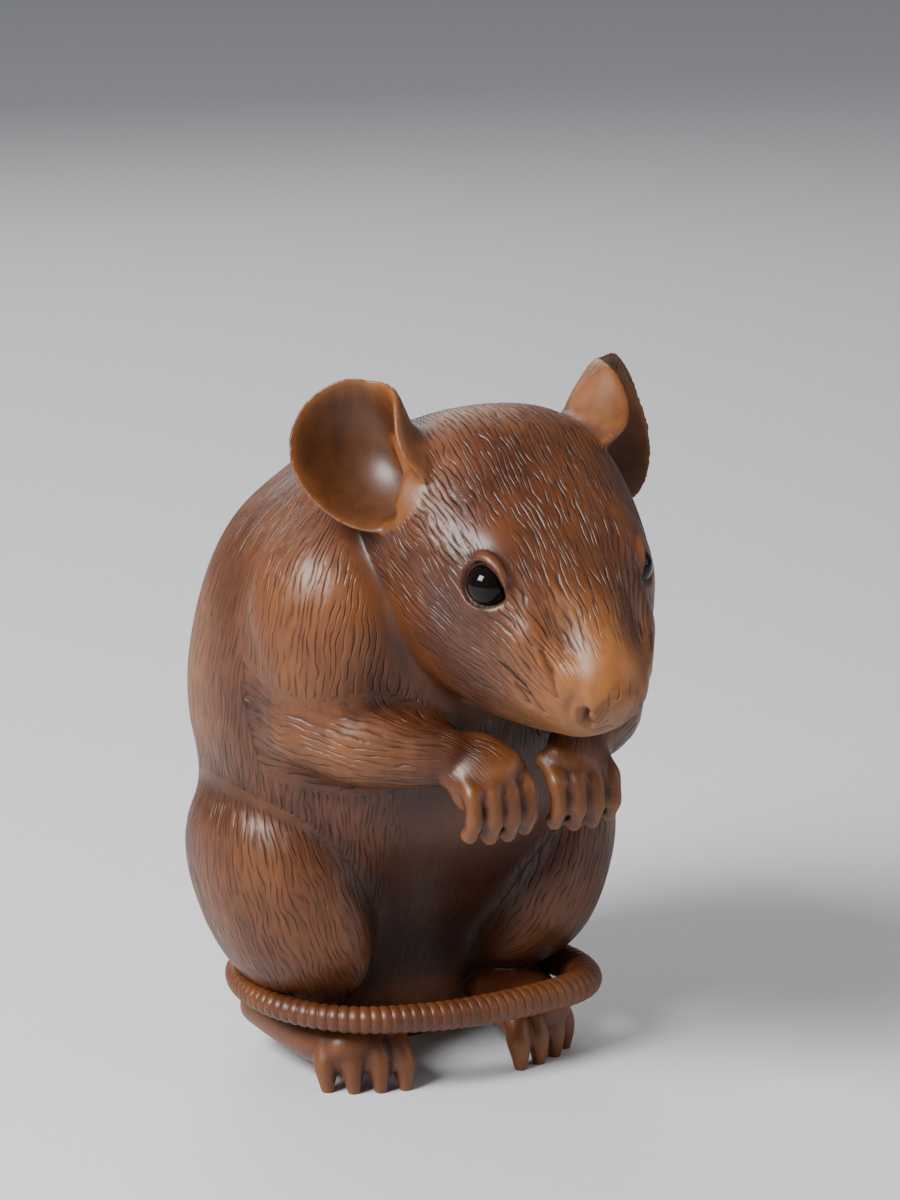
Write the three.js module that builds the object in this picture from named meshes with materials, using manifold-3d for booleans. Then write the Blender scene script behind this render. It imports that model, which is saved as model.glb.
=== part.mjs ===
// A seated rat carved from one block of wood, with two round eyes of dark horn let into its head.
// Millimetres, +Z up. The rat looks along -Y, its right side is at -X, and Z = 0 is the surface it sits on.
import * as THREE from "three";
import { LoftGeometry } from "three/addons/geometries/LoftGeometry.js";
import { mergeVertices } from "three/addons/utils/BufferGeometryUtils.js";
import Module from "manifold-3d";

// Driving dimension: the height from the seat to the tip of the left ear.
// The free forms below are rows of points laid out 76.4 units high, so U is the size of one unit.
const HEIGHT = 76.4;
const LAYOUT_HEIGHT = 76.4;
const U = HEIGHT / LAYOUT_HEIGHT;

// Sizes that are set by themselves.
const EYE_RADIUS = 2.15;
const EYE_CLEARANCE = 0.3;
const EAR_WALL = 1.0;
const FINGER_RADIUS = 1.08;
const TOE_RADIUS = 1.2;
const CLAW_TIP_RADIUS = 0.55;
const NOSTRIL_RADIUS = 0.75;
const TAIL_ROOT_RADIUS = 2.1;
const TAIL_TIP_RADIUS = 1.0;

const wasm = await Module();
wasm.setup();

const V = (x, y, z) => new THREE.Vector3(x, y, z);

// A manifold-3d solid from a closed three.js geometry.
function solid(geometry) {
  const plain = new THREE.BufferGeometry().copy(geometry);
  plain.deleteAttribute("normal");
  plain.deleteAttribute("uv");
  const merged = mergeVertices(plain, 1e-4);
  const corners = merged.index.array;
  const faces = [];
  for (let i = 0; i < corners.length; i += 3) {
    const face = Array.from(corners.slice(i, i + 3));
    if (new Set(face).size === 3) faces.push(...face);
  }
  return new wasm.Manifold(
    new wasm.Mesh({
      numProp: 3,
      vertProperties: new Float32Array(merged.attributes.position.array),
      triVerts: new Uint32Array(faces),
    }),
  );
}

// A three.js geometry from a manifold-3d solid.
function geometryOf(body) {
  const mesh = body.getMesh();
  return new THREE.BufferGeometry()
    .setAttribute("position", new THREE.BufferAttribute(mesh.vertProperties, 3))
    .setIndex(new THREE.BufferAttribute(mesh.triVerts, 1));
}

// The closed skin over a row of rings.
const skin = (rings, caps = true) => solid(new LoftGeometry(rings, { capStart: caps, capEnd: caps }));

// Rows of numbers blended smoothly: at(t) gives the row at share t of the way through the list.
function blend(rows) {
  const width = rows[0].length;
  const curves = [];
  for (let i = 0; i < width; i += 3) {
    const points = rows.map((row) => V(row[i], row[i + 1] ?? 0, row[i + 2] ?? 0));
    curves.push(new THREE.CatmullRomCurve3(points, false, "catmullrom", 0.5));
  }
  return (t) => curves.flatMap((curve) => curve.getPoint(t).toArray()).slice(0, width);
}

// A number raised to a power with its sign kept: it makes a section squarer as the power falls below 1.
const signedPower = (value, power) => Math.sign(value) * Math.abs(value) ** power;

// A ring round a centre: half-width along side, and its own half-height above and below along up.
function ring(centre, side, up, halfWidth, above, below, sides, square = 1) {
  return Array.from({ length: sides }, (_, i) => {
    const turn = (i / sides) * Math.PI * 2;
    const across = signedPower(Math.cos(turn), square) * halfWidth;
    const rise = signedPower(Math.sin(turn), square);
    return centre
      .clone()
      .addScaledVector(side, across)
      .addScaledVector(up, rise * (rise > 0 ? above : below));
  });
}

// A limb: a path of points, each with its own radius along side and along up, and round ends.
// flat is the share of the width that its height has, and facing the way that its back looks.
function limb(stations, { sides = 12, steps = 10, flat = 1, facing = V(0, 0, 1) } = {}) {
  const at = blend(stations);
  const place = (t) => V(...at(t).slice(0, 3)).multiplyScalar(U);
  const rings = [];
  const addRing = (t, shift, share) => {
    const along = place(Math.min(1, t + 0.01)).sub(place(Math.max(0, t - 0.01))).normalize();
    const side = V(0, 0, 0).crossVectors(facing, along).normalize();
    const up = V(0, 0, 0).crossVectors(along, side);
    const radius = at(t)[3] * U;
    const centre = place(t).addScaledVector(along, shift * radius * flat);
    const width = radius * share;
    rings.push(ring(centre, side, up, width, width * flat, width * flat, sides));
  };
  const capSteps = 2;
  for (let i = 0; i < capSteps; i++) {
    const turn = ((i + 0.25) / capSteps) * (Math.PI / 2);
    addRing(0, -Math.cos(turn), Math.sin(turn));
  }
  for (let i = 0; i <= steps; i++) addRing(i / steps, 0, 1);
  for (let i = capSteps - 1; i >= 0; i--) {
    const turn = ((i + 0.25) / capSteps) * (Math.PI / 2);
    addRing(1, Math.cos(turn), Math.sin(turn));
  }
  return skin(rings);
}

// The same stations on the other side of the body: side is -1 for the rat's right and 1 for its left.
const onSide = (side, stations) => stations.map(([x, ...rest]) => [side * x, ...rest]);

// Torso

// Level sections from the seat up: height, middle's depth, half-width, reach to the front, reach to the back.
const TORSO = [
  [-2.5, 7, 8, 4, 7],
  [0, 6.5, 11, 6, 10.5],
  [5, 6, 13.6, 7.4, 12.6],
  [12, 4.6, 15, 8.6, 15.6],
  [20, 2.2, 16.8, 12.2, 19.6],
  [30, 0, 20.6, 17.5, 23],
  [40, -2, 23.2, 18.5, 25],
  [50, -4.2, 22.8, 18, 24.8],
  [58, -5, 20.2, 15, 21.2],
  [63.6, -5.4, 15.2, 11.4, 15.6],
  [67.4, -4.8, 9, 7, 9.4],
  [69, -4.4, 1, 1, 1],
];

function torso() {
  const at = blend(TORSO);
  const steps = 17;
  const rings = Array.from({ length: steps + 1 }, (_, i) => {
    const [z, y, halfWidth, front, back] = at(i / steps);
    return ring(V(0, y * U, z * U), V(1, 0, 0), V(0, 1, 0), halfWidth * U, back * U, front * U, 24);
  });
  return skin(rings);
}

// Head

// The head is laid out along its own axis, from the nose tip up and back into the neck.
const HEAD_PITCH = THREE.MathUtils.degToRad(32);
const NOSE_TIP = V(0, -44.5, 48.5);
const HEAD_BACK = V(0, Math.cos(HEAD_PITCH), Math.sin(HEAD_PITCH));
const HEAD_UP = V(0, -Math.sin(HEAD_PITCH), Math.cos(HEAD_PITCH));

// Sections along the axis: distance from the nose tip, drop below the axis, half-width, reach up, reach down.
const HEAD = [
  [0.1, 0, 1.2, 1.0, 1.6],
  [0.6, 0, 3.0, 1.9, 3.8],
  [2.2, 0, 4.6, 3.4, 6.6],
  [5, 0, 6.2, 4.6, 9],
  [9, 0, 8.4, 6.0, 12],
  [14, 0, 10.6, 7.3, 15],
  [20, 0, 12.5, 8.4, 17.2],
  [26, 0, 13.4, 9.0, 18.6],
  [31, 0.2, 13.4, 9.2, 18.4],
  [36, 1.2, 12.2, 8.0, 15],
  [40, 3.6, 9.6, 5.6, 10],
  [43, 7, 5.5, 3, 5],
  [44, 8.6, 1, 0.5, 1],
];

// A point of the head's own frame: across, along the axis from the nose tip, and up.
function headPoint(across, along, up) {
  return NOSE_TIP.clone()
    .addScaledVector(HEAD_BACK, along)
    .addScaledVector(HEAD_UP, up)
    .setX(across)
    .multiplyScalar(U);
}

function head() {
  const at = blend(HEAD);
  const steps = 18;
  const rings = Array.from({ length: steps + 1 }, (_, i) => {
    const [along, drop, halfWidth, above, below] = at(i / steps);
    const centre = headPoint(0, along, -drop);
    return ring(centre, V(-1, 0, 0), HEAD_UP, halfWidth * U, above * U, below * U, 24, 0.92);
  });
  return skin(rings);
}

// A ball at a place, as a solid.
function ball(centre, radius, slices = 12, stacks = 8) {
  const geometry = new THREE.SphereGeometry(radius, slices, stacks);
  geometry.translate(centre.x, centre.y, centre.z);
  return solid(geometry);
}

// The left eye sits a little closer to the middle than the right one.
const EYE_ACROSS = { "-1": 8.5, 1: 7.8 };
const eyeCentre = (side) => headPoint(side * EYE_ACROSS[side], 15, 3.2);
const nostrilCentre = (side) => headPoint(side * 2.1, 0.6, -1.8);

// Ear

// The ear is a bowl with an outline longer than it is wide; its inner edge rolls over.
const EAR_FACING = V(0.52, -0.76, 0.36);
const EAR_HALF_LENGTH = 7.6;
const EAR_HALF_WIDTH = 6.8;
const EAR_DEPTH = 4.2;
const EAR_ROLL_START = 2.8;
const EAR_ROLL_RADIUS = 1.6;
const EAR_HOLLOW_SHARE = 0.94;
const EAR_HOLLOW_REACH = 2.2;

// A short root joins the back of each ear to the head.
const EAR_ROOT = [
  [8.5, -19, 61, 4.4],
  [10, -15.6, 64.5, 3.6],
  [11, -13, 67, 2.2],
];

// The right ear stands up; the left one leans out and its tip is drawn to a point.
const EARS = {
  "-1": { middle: V(-13.6, -18, 69.6), lean: 0.16, point: 0 },
  1: { middle: V(15, -17.8, 69.2), lean: 0.62, point: 0.18 },
};

// A point of the ear's sheet: share is 0 at its middle and 1 at its rim, and wall is how far behind it lies.
function earSheet(side) {
  const { middle, lean, point } = EARS[side];
  const facing = V(EAR_FACING.x * side, EAR_FACING.y, EAR_FACING.z).normalize();
  const axis = V(lean * side, 0.5, 0.86).projectOnPlane(facing).normalize();
  const inward = V(0, 0, 0).crossVectors(facing, axis).multiplyScalar(side);
  return (share, turn, wall, rolled = true) => {
    const drawn = 1 + point * Math.max(0, Math.cos(turn)) ** 8;
    const along = Math.cos(turn) * share * EAR_HALF_LENGTH * drawn;
    const taper = Math.sin(turn) > 0 ? -0.22 : 0.14;
    let across = Math.sin(turn) * share * EAR_HALF_WIDTH * (1 + taper * Math.cos(turn));
    let depth = -EAR_DEPTH * (1 - share * share) - wall;
    if (!rolled) {
      across = Math.min(across, EAR_ROLL_START);
    } else if (across > EAR_ROLL_START) {
      const roll = (across - EAR_ROLL_START) / EAR_ROLL_RADIUS;
      depth += (EAR_ROLL_RADIUS + wall) * (1 - Math.cos(roll));
      across = EAR_ROLL_START + (EAR_ROLL_RADIUS + wall) * Math.sin(roll);
    }
    return middle
      .clone()
      .addScaledVector(axis, along)
      .addScaledVector(inward, across)
      .addScaledVector(facing, depth)
      .multiplyScalar(U);
  };
}

const EAR_SIDES = 22;
const earRow = (side, share, wall, rolled) =>
  Array.from({ length: EAR_SIDES }, (_, i) =>
    earSheet(side)(share, (side * i * Math.PI * 2) / EAR_SIDES, wall / U, rolled),
  );

function ear(side) {
  const shares = [0, 0.3, 0.52, 0.7, 0.86, 1];
  const outside = shares.map((share) => earRow(side, share, EAR_WALL, true));
  const inside = shares.map((share) => earRow(side, share, 0, true)).reverse();
  return skin([...outside, ...inside], false);
}

// The space in front of the bowl, cut out of the head so that the bowl stays open down to its base.
function earHollow(side) {
  const floor = [0.15, 0.5, 0.75, EAR_HOLLOW_SHARE].map((share) => earRow(side, share, EAR_WALL / 2, false));
  return skin([...floor, earRow(side, EAR_HOLLOW_SHARE, -EAR_HOLLOW_REACH, false)]);
}

// Limbs

// Each row of a limb is a point on its middle line and its radius there.
const UPPER_ARM = [
  [10, -9, 60, 7],
  [13, -11, 53.5, 9.4],
  [14.5, -12, 47.5, 8.2],
  [15.4, -12.2, 42.4, 5.6],
];
const FOREARM = [
  [16.4, -11.6, 41, 5],
  [14, -17, 39.8, 4.5],
  [10.6, -20.8, 39, 3.6],
  [8, -23, 38.8, 3],
];
const PALM = [
  [8.2, -22.4, 39, 2.8],
  [6.4, -25, 38.2, 3.9],
  [5.2, -26.6, 36.8, 4.3],
];
const PALM_FLAT = 0.55;
const palmFacing = (side) => V(side * 0.5, -0.6, 0.8).normalize();

// Both paws are held a little over to the rat's left.
const PAW_SHIFT = 0.9;
const overPaws = (side, stations) =>
  onSide(side, stations).map(([x, y, z, r]) => [x + PAW_SHIFT * Math.min(1, (-12 - y) / 12), y, z, r]);

const THIGH_CENTRE = V(13.2, 0.2, 20);
const THIGH_REACH = { out: 9.4, inside: 5.6, along: 12.6, above: 14.6, below: 13 };
const THIGH_TURN = THREE.MathUtils.degToRad(-4);
const THIGH_LEAN = THREE.MathUtils.degToRad(19);

function thigh(side) {
  const centre = V(side * THIGH_CENTRE.x, THIGH_CENTRE.y, THIGH_CENTRE.z).multiplyScalar(U);
  const out = V(side * Math.cos(THIGH_LEAN), -Math.sin(THIGH_TURN), -Math.sin(THIGH_LEAN)).normalize();
  const up = V(0, 0, 1).projectOnPlane(out).normalize();
  const along = V(0, 0, 0).crossVectors(up, out);
  const steps = 10;
  const rings = Array.from({ length: steps + 1 }, (_, i) => {
    const turn = (Math.PI / 2 - 0.1) * ((2 * i) / steps - 1);
    const share = Math.cos(turn) ** 0.75 * U;
    const { inside, along: half, above, below } = THIGH_REACH;
    const reach = turn < 0 ? inside : THIGH_REACH.out;
    const middle = centre.clone().addScaledVector(out, Math.sin(turn) * reach * U);
    return ring(middle, along, up, half * share, above * share, below * share, 20, 0.88);
  });
  return skin(rings);
}

// Four fingers hang from the knuckles of each paw.
function fingers(side) {
  return [-1.5, -0.5, 0.5, 1.5].map((slot) => {
    const x = 4.9 + slot * 2.1;
    const lead = 0.35 * Math.abs(slot);
    const stations = [
      [x, -26.2 + lead, 37.8, FINGER_RADIUS / U],
      [x, -28.6 + lead, 36, FINGER_RADIUS / U],
      [x, -29 + lead, 33.4, (FINGER_RADIUS * 0.95) / U],
      [x, -28 + lead, 31.3 + lead, (FINGER_RADIUS * 0.9) / U],
    ];
    return limb(overPaws(side, stations), { sides: 7, steps: 5, facing: V(side, 0, 0) });
  });
}

const FOOT = [
  [13.2, 4, 5.4, 4.1],
  [12.2, -1, 5, 4.6],
  [11.2, -6.5, 4.5, 4.6],
  [10.4, -9.8, 4.6, 4.2],
];
const FOOT_FLAT = 0.7;

// The right foot is set back a little from the left.
const FOOT_LEAD = { "-1": 0.6, 1: 0 };
const setBack = (side, stations) =>
  onSide(side, stations).map(([x, y, z, r]) => [x, y + FOOT_LEAD[side], z, r]);

// Four toes come down from the front of each foot along a line that runs back as it goes out.
const TOE_TIPS = [
  [6.8, -13.8],
  [9.4, -13.2],
  [12, -12.1],
  [14.2, -10.4],
];

function toes(side) {
  return TOE_TIPS.map(([x, y], slot) => {
    const inward = (slot - 1) * 0.3;
    const stations = [
      [x - inward * 2.4, y + 4.4, 6.2, TOE_RADIUS / U],
      [x - inward, y + 1.7, 5.4, TOE_RADIUS / U],
      [x, y + 0.3, 2.6, (TOE_RADIUS * 0.96) / U],
      [x, y, 0.3, CLAW_TIP_RADIUS / U],
    ];
    return limb(setBack(side, stations), { sides: 7, steps: 5, facing: V(side, 0, 0) });
  });
}

// Tail

// The tail leaves the rump at the rat's left, lies over both feet and ends behind its right thigh.
const TAIL = [
  [4, 15.6, 6.5],
  [10.5, 11, 6.8],
  [14.6, 3.5, 7.2],
  [17.2, -4.5, 7.6],
  [16.4, -11, 7.8],
  [12, -14.2, 8],
  [4.5, -15.4, 8.1],
  [-4.5, -15.2, 8.3],
  [-12.6, -12.8, 8.6],
  [-17.4, -7.2, 8.8],
  [-18.4, 0.5, 8.7],
  [-16, 8, 8.4],
  [-11.4, 13, 8],
];

function tail() {
  const path = new THREE.CatmullRomCurve3(
    TAIL.map(([x, y, z]) => V(x * U, y * U, z * U)),
    false,
    "centripetal",
  );
  const steps = 40;
  const sides = 8;
  const rows = [];
  for (let i = 0; i <= steps; i++) {
    const t = i / steps;
    const centre = path.getPointAt(t);
    const along = path.getTangentAt(t);
    const side = V(0, 0, 0).crossVectors(V(0, 0, 1), along).normalize();
    const up = V(0, 0, 0).crossVectors(along, side);
    const radius = TAIL_ROOT_RADIUS + (TAIL_TIP_RADIUS - TAIL_ROOT_RADIUS) * t;
    rows.push(ring(centre, side, up, radius, radius, radius, sides));
  }
  return skin(rows);
}

// The whole carving

function carving() {
  const sides = [-1, 1];
  const forms = [torso(), head(), tail()];
  for (const side of sides) {
    forms.push(
      limb(onSide(side, EAR_ROOT), { sides: 10, steps: 4, facing: V(0, -1, 0) }),
      thigh(side),
      limb(onSide(side, UPPER_ARM), { sides: 12, steps: 6, facing: V(0, -1, 0) }),
      limb(overPaws(side, FOREARM), { sides: 12, steps: 6 }),
      limb(overPaws(side, PALM), { sides: 12, steps: 4, flat: PALM_FLAT, facing: palmFacing(side) }),
      limb(setBack(side, FOOT), { sides: 12, steps: 6, flat: FOOT_FLAT }),
      ...fingers(side),
      ...toes(side),
    );
  }
  let body = forms.reduce((whole, form) => whole.add(form));
  for (const side of sides) {
    body = body.subtract(earHollow(side)).add(ear(side));
    body = body.subtract(ball(eyeCentre(side), EYE_RADIUS + EYE_CLEARANCE));
    body = body.subtract(ball(nostrilCentre(side), NOSTRIL_RADIUS, 8, 6));
  }
  const below = new THREE.BoxGeometry(HEIGHT * 3, HEIGHT * 3, HEIGHT).translate(0, 0, -HEIGHT / 2);
  return body.subtract(solid(below));
}

const wood = new THREE.MeshStandardMaterial({ color: 0x8a4f2c, roughness: 0.4, metalness: 0 });
const horn = new THREE.MeshStandardMaterial({ color: 0x0b0908, roughness: 0.08, metalness: 0 });

const rat = new THREE.Mesh(geometryOf(carving()), wood);
rat.name = "rat";

const pieces = new THREE.Group();
pieces.add(rat);

for (const [side, name] of [
  [-1, "eye_right"],
  [1, "eye_left"],
]) {
  const eye = new THREE.Mesh(new THREE.SphereGeometry(EYE_RADIUS, 12, 8), horn);
  eye.position.copy(eyeCentre(side));
  eye.name = name;
  pieces.add(eye);
}

// The middle of the footprint is moved to the origin.
const bounds = new THREE.Box3().setFromObject(pieces);
pieces.position.set(-(bounds.min.x + bounds.max.x) / 2, -(bounds.min.y + bounds.max.y) / 2, 0);

const okimono = new THREE.Group();
okimono.add(pieces);

export default okimono;
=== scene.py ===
# %% [markdown]
# # Dressing a carved rat
#
# The real object is an okimono, a small ornament cut from one block of wood. A carver saws out the pose,
# rounds each mass with a chisel, joins the masses with soft hollows, and only then scratches in the hair with
# a graver. This lesson works in the same order: masses, hollows, nose and brows, hair, tail, then the finish.
# Every form is worked out from a few rows of sizes, so a change to a row changes the carving.

# %% Frame and measures
import math

import bpy
import numpy as np
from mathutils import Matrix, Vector


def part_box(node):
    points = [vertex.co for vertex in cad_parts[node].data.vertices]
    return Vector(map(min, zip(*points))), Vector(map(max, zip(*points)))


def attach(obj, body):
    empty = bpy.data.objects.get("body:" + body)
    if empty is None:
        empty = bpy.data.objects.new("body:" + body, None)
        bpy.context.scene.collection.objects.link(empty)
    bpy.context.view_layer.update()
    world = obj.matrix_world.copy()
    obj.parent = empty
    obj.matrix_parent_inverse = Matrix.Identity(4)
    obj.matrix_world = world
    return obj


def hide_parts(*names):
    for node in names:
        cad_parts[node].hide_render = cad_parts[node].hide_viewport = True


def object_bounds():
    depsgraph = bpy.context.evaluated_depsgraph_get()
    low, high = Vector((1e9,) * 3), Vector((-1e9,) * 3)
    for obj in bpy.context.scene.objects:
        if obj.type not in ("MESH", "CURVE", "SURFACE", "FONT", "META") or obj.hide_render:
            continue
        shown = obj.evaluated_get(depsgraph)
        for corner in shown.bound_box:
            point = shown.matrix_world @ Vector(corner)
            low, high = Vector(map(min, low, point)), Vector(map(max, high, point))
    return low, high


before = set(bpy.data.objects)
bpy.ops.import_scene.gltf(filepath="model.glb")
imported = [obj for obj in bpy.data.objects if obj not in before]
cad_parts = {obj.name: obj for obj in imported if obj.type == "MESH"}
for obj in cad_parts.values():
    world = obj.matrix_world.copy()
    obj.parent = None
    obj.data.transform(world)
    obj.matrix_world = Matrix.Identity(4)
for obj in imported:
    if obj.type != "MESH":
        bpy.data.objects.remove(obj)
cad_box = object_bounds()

# The forms are laid out in units of which the whole carving is LAYOUT_HEIGHT high.
LAYOUT_HEIGHT = 76.37
UNIT = (cad_box[1][2] - cad_box[0][2]) / LAYOUT_HEIGHT
SIDES = (-1, 1)

print("one unit is", round(UNIT * 1000, 4), "mm")


# %% [markdown]
# ## Rows of sizes
#
# A mass is given as rows: where a section stands and how far it reaches. `through` draws a smooth curve
# through the rows, and `rings` turns each section into a ring of points.


# %% Curves and rings
def through(rows, shares):
    """Rows blended by Catmull-Rom curves, from start to stop with slopes leave and arrive:
    start + leave t + square t^2 + cube t^3, with t from 0 to 1."""
    rows = np.asarray(rows, float)
    ends = np.vstack([2 * rows[0] - rows[1], rows, 2 * rows[-1] - rows[-2]])
    place = np.clip(np.asarray(shares, float), 0, 1) * (len(rows) - 1)
    index = np.minimum(place.astype(int), len(rows) - 2)
    t = (place - index)[:, None]
    before, start, stop, after = (ends[index + k] for k in range(4))
    leave, arrive = (stop - before) / 2, (after - start) / 2
    square = 3 * (stop - start) - 2 * leave - arrive
    cube = 2 * (start - stop) + leave + arrive
    return start + leave * t + square * t**2 + cube * t**3


def unit(vectors):
    """Each vector divided by its length."""
    return vectors / np.maximum(np.linalg.norm(vectors, axis=-1, keepdims=True), 1e-12)


def circle(count):
    """Angles of evenly spaced points round a circle."""
    return np.arange(count) / count * 2 * np.pi


def rings(middle, side, up, width, above, below, count, square=1.0):
    """At angle a: middle + side width cos a + up reach sin a, both raised to the power square by size."""
    turn = circle(count)
    across = np.sign(np.cos(turn)) * np.abs(np.cos(turn)) ** square
    rise = np.sign(np.sin(turn)) * np.abs(np.sin(turn)) ** square
    reach = np.where(rise > 0, above[:, None], below[:, None]) * rise
    side, up = np.broadcast_to(side, middle.shape), np.broadcast_to(up, middle.shape)
    wide = (width[:, None] * across)[..., None] * side[:, None]
    return middle[:, None] + wide + reach[..., None] * up[:, None]


print("three quarters through 0, 1 and 4:", through([[0], [1], [4]], [0.75])[0, 0])


# %% Skins and limbs
def skin(grid, looped=False):
    """Points and faces of a closed form: four-sided faces, and a fan at each end unless looped."""
    rows, count = grid.shape[:2]
    i, j = np.meshgrid(np.arange(rows if looped else rows - 1), np.arange(count), indexing="ij")
    a, b = (i + 1) % rows, (j + 1) % count
    walls = np.stack([i * count + j, i * count + b, a * count + b, a * count + j], -1).reshape(-1, 4)
    if looped:
        return grid.reshape(-1, 3), walls.tolist()
    points = np.vstack([grid.reshape(-1, 3), grid[0].mean(0), grid[-1].mean(0)])
    j, k = np.arange(count), (np.arange(count) + 1) % count
    first, last = rows * count, rows * count + 1
    foot = np.stack([k, j, np.full(count, first)], -1)
    head = np.stack([(rows - 1) * count + j, (rows - 1) * count + k, np.full(count, last)], -1)
    return points, walls.tolist() + foot.tolist() + head.tolist()


def distances(path):
    """Distance run along a path at each of its points."""
    return np.concatenate([[0], np.cumsum(np.linalg.norm(np.diff(path, axis=0), axis=1))])


def frames_along(path, facing):
    """Unit vectors along a path, across it and up from it: side = facing x along, up = along x side."""
    along = unit(np.gradient(path, axis=0))
    side = unit(np.cross(np.broadcast_to(facing, along.shape), along))
    return along, side, np.cross(along, side)


def limb(stations, facing, flat=1.0, count=28, steps=36, swell=None):
    """A round-ended limb through stations of x, y, z and radius; swell(t) is added to the radius."""
    shares = np.linspace(0, 1, steps)
    rows = through(stations, shares)
    path, radius = rows[:, :3], rows[:, 3] + (swell(shares) if swell else 0)
    along, side, up = frames_along(path, np.asarray(facing, float))
    cap = np.sin(np.linspace(0.1, np.pi / 2, 7))[:-1]
    out = np.sqrt(1 - cap**2)
    grids = []
    for end, sign, order in ((0, -1, slice(None)), (-1, 1, slice(None, None, -1))):
        size = radius[end] * cap[order]
        centre = path[end] + sign * along[end] * (radius[end] * flat * out[order])[:, None]
        grids.append(rings(centre, side[end], up[end], size, size * flat, size * flat, count))
    body = rings(path, side, up, radius, radius * flat, radius * flat, count)
    return skin(np.concatenate([grids[0], body, grids[1]]))


def on_side(side, stations):
    """The same stations on the rat's right (-1) or left (1)."""
    return [[side * row[0], *row[1:]] for row in stations]


print("points of a short limb:", len(limb([[0, 0, 0, 1], [0, 0, 4, 1]], (1, 0, 0))[0]))


# %% [markdown]
# ## The masses
#
# The torso is an egg, narrow at the seat and widest at the ribs. The head is a wedge laid along its own
# tilted axis, from the nose pad back over a domed skull, with deep jowls below. The haunches are thick lenses
# leaning in at the foot. Shoulders, forearms, palms and feet are limbs of changing radius. They could be
# sculpted by hand, but rows of sizes can be checked against the photo one by one.

# %% Torso and head
# Rows: height, middle's depth, half-width, reach to the front, reach to the back.
TORSO = [
    [-2.5, 7, 8, 4, 7],
    [0, 6.5, 11, 6, 10.5],
    [5, 6, 13.6, 7.4, 12.6],
    [12, 4.6, 15, 8.6, 15.6],
    [20, 2.2, 16.8, 12.2, 19.6],
    [30, 0, 20.6, 17.5, 23],
    [40, -2, 23.2, 18.5, 25],
    [50, -4.2, 22.8, 18, 24.8],
    [58, -5, 20.2, 15, 21.2],
    [63.6, -5.4, 15.2, 11.4, 15.6],
    [67.4, -4.8, 9, 7, 9.4],
    [69, -4.4, 1, 1, 1],
]

# Rows: distance from the nose tip, drop below the axis, half-width, reach up, reach down.
HEAD = [
    [0.1, 0, 1.2, 1.0, 1.6],
    [0.6, 0, 3.0, 1.9, 3.8],
    [2.2, 0, 4.6, 3.4, 6.6],
    [5, 0, 6.2, 4.6, 9],
    [9, 0, 8.4, 6.0, 12],
    [14, 0, 10.6, 7.3, 15],
    [20, 0, 12.5, 8.4, 17.2],
    [26, 0, 13.4, 9.0, 18.6],
    [31, 0.2, 13.4, 9.2, 18.4],
    [36, 1.2, 12.2, 8.0, 15],
    [40, 3.6, 9.6, 5.6, 10],
    [43, 7, 5.5, 3, 5],
    [44, 8.6, 1, 0.5, 1],
]
HEAD_PITCH = math.radians(32)
NOSE_TIP = np.array([0, -44.5, 48.5])
HEAD_BACK = np.array([0, math.cos(HEAD_PITCH), math.sin(HEAD_PITCH)])
HEAD_UP = np.array([0, -math.sin(HEAD_PITCH), math.cos(HEAD_PITCH)])
HEAD_SQUARE = 0.92
TORSO_RINGS, HEAD_RINGS, POINTS_ROUND = 90, 110, 120


def head_point(across, along, up):
    """A point of the head's own frame: nose tip + back along + up up, with x across."""
    return NOSE_TIP + HEAD_BACK * along + HEAD_UP * up + np.array([across, 0, 0])


def torso():
    """The torso's skin: level rings about a middle line that leans back."""
    z, y, width, front, back = through(TORSO, np.linspace(0, 1, TORSO_RINGS)).T
    middle = np.stack([0 * z, y, z], -1)
    return skin(rings(middle, np.array([1.0, 0, 0]), np.array([0, 1.0, 0]), width, back, front, POINTS_ROUND))


def head():
    """The head's skin: rings upright to its own tilted axis."""
    along, drop, width, above, below = through(HEAD, np.linspace(0, 1, HEAD_RINGS)).T
    middle = NOSE_TIP + along[:, None] * HEAD_BACK - drop[:, None] * HEAD_UP
    side = np.array([-1.0, 0, 0])
    return skin(rings(middle, side, HEAD_UP, width, above, below, POINTS_ROUND, HEAD_SQUARE))


print("points of the torso and the head:", len(torso()[0]), len(head()[0]))


# %% Haunches
THIGH_CENTRE = np.array([13.2, 0.2, 20])
THIGH_OUT, THIGH_INSIDE, THIGH_ALONG, THIGH_ABOVE, THIGH_BELOW = 9.4, 5.6, 12.6, 14.6, 13
THIGH_TURN = math.radians(-4)
THIGH_LEAN = math.radians(19)
THIGH_SQUARE = 0.88


def thigh_frame(side):
    """The haunch's centre and its three directions: out of the body, up its face and along it."""
    out = unit(np.array([side * math.cos(THIGH_LEAN), -math.sin(THIGH_TURN), -math.sin(THIGH_LEAN)]))
    up = unit(np.array([0, 0, 1.0]) - out * out[2])
    return THIGH_CENTRE * [side, 1, 1], out, up, np.cross(up, out)


def thigh(side):
    """A lens of rings: at turn t its middle is centre + out reach sin t, and its size is cos(t)^0.75."""
    centre, out, up, along = thigh_frame(side)
    turn = np.linspace(-1, 1, 48) * (np.pi / 2 - 0.05)
    share = np.cos(turn) ** 0.75
    reach = np.where(turn < 0, THIGH_INSIDE, THIGH_OUT) * np.sin(turn)
    middle = centre + reach[:, None] * out
    width, above, below = THIGH_ALONG * share, THIGH_ABOVE * share, THIGH_BELOW * share
    return skin(rings(middle, along, up, width, above, below, 72, THIGH_SQUARE))


print("points of a haunch:", len(thigh(1)[0]))


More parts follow.
